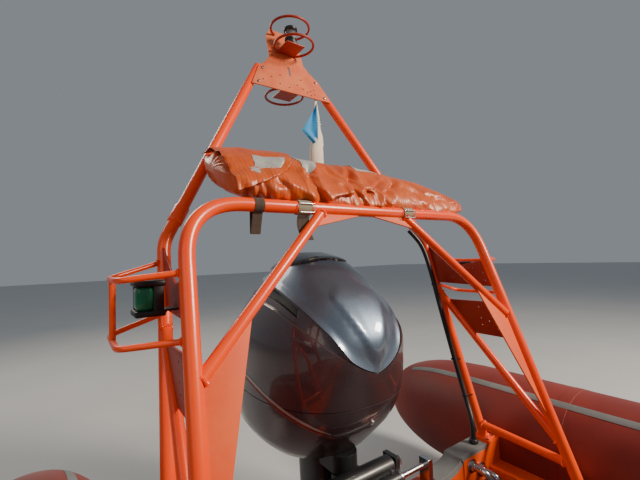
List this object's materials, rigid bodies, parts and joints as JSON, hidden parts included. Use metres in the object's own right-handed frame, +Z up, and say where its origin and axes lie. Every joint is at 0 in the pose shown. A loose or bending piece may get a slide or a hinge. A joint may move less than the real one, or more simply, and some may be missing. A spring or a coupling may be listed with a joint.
{
  "type": "rigid inflatable rescue boat",
  "caption": "Orange rigid inflatable rescue boat with a welded stern frame, a lamp mast, a rolled righting bag and one steered, tilting outboard.",
  "frame": {"origin": "on the centreline, amidships, at the waterline", "axes": "+X to starboard, +Y to the bow, +Z up"},
  "size_m": [2.5932, 7.1752, 3.1147],
  "materials": {
    "frame_paint": "gloss paint over welded pipe",
    "hull_paint": "gloss gelcoat",
    "collar_fabric": "matt",
    "bag_fabric": "faded matt",
    "webbing": "matt",
    "flag_cloth": "matt",
    "black_plastic": "satin",
    "grey_moulding": "satin gelcoat",
    "deck_covering": "non-slip matt",
    "seat_vinyl": "satin",
    "stainless_steel": "polished",
    "clear_acrylic": "clear",
    "engine_casting": "satin black paint",
    "cowl_paint": "metallic gloss"
  },
  "bodies": {
    "boat": {"all_round_light": "black_plastic", "apex_plate": "frame_paint", "bag_strap_port": "webbing", "bag_strap_starboard": "webbing", "bow_post": "stainless_steel", "clamp_bracket": "engine_casting", "collar_port": "collar_fabric", "collar_starboard": "collar_fabric", "conduit": "black_plastic", "console": "grey_moulding", "crew_seat_backrest": "seat_vinyl", "crew_seat_base": "grey_moulding", "crew_seat_saddle": "seat_vinyl", "deck_panel": "deck_covering", "ensign": "flag_cloth", "foot_rail_port": "frame_paint", "foot_rail_starboard": "frame_paint", "foredeck_hatch": "grey_moulding", "guard_hoop": "frame_paint", "helm_seat_backrest": "seat_vinyl", "helm_seat_base": "grey_moulding", "helm_seat_saddle": "seat_vinyl", "hoop_brace_port": "frame_paint", "hoop_brace_starboard": "frame_paint", "hull": "hull_paint", "lamp_ring_aft": "frame_paint", "lamp_ring_lower": "frame_paint", "lamp_ring_upper": "frame_paint", "light_loop_port": "frame_paint", "light_loop_starboard": "frame_paint", "mast_crossbar": "frame_paint", "mast_leg_port": "frame_paint", "mast_leg_starboard": "frame_paint", "righting_bag": "bag_fabric", "side_brace_port": "frame_paint", "side_brace_starboard": "frame_paint", "side_light_port": "black_plastic", "side_light_starboard": "black_plastic", "side_plate_lower_port": "frame_paint", "side_plate_lower_starboard": "frame_paint", "side_plate_upper_port": "frame_paint", "side_plate_upper_starboard": "frame_paint", "steering_rod": "stainless_steel", "stern_light": "black_plastic", "throttle": "black_plastic", "windscreen": "clear_acrylic"},
    "tilt_bracket": {"swivel_bracket": "engine_casting"},
    "engine": {"engine_leg": "engine_casting", "cowl_lower": "engine_casting", "cowl_upper": "cowl_paint", "gearcase": "engine_casting"},
    "propeller": {"propeller": "stainless_steel"},
    "helm_wheel": {"helm_wheel": "black_plastic"},
    "steering_cylinder": {"steering_cylinder": "stainless_steel"}
  },
  "joints": [
    {"name": "engine_tilt", "type": "hinge", "parent": "boat", "child": "tilt_bracket", "pos_m": [0, -2.74, 0.5], "axis": [-1, 0, 0], "range_deg": [-4, 62]},
    {"name": "engine_steering", "type": "hinge", "parent": "tilt_bracket", "child": "engine", "pos_m": [0, -2.85, 0.295], "axis": [0, 0, 1], "range_deg": [-30, 30]},
    {"name": "propeller_shaft", "type": "hinge", "parent": "engine", "child": "propeller", "pos_m": [0, -3.2503, -0.43], "axis": [0, 1, 0], "continuous": true},
    {"name": "helm", "type": "hinge", "parent": "boat", "child": "helm_wheel", "pos_m": [0, 0.225, 0.985], "axis": [0, -0.8776, 0.4794], "range_deg": [-720, 720]},
    {"name": "steering_ram", "type": "slide", "parent": "boat", "child": "steering_cylinder", "axis": [1, 0, 0], "range_m": [-0.1, 0.1]}
  ],
  "couplings": [
    {"joint": "helm", "follows": "engine_steering", "ratio": 24},
    {"joint": "steering_ram", "follows": "engine_steering", "m_per_rad": 0.19}
  ]
}
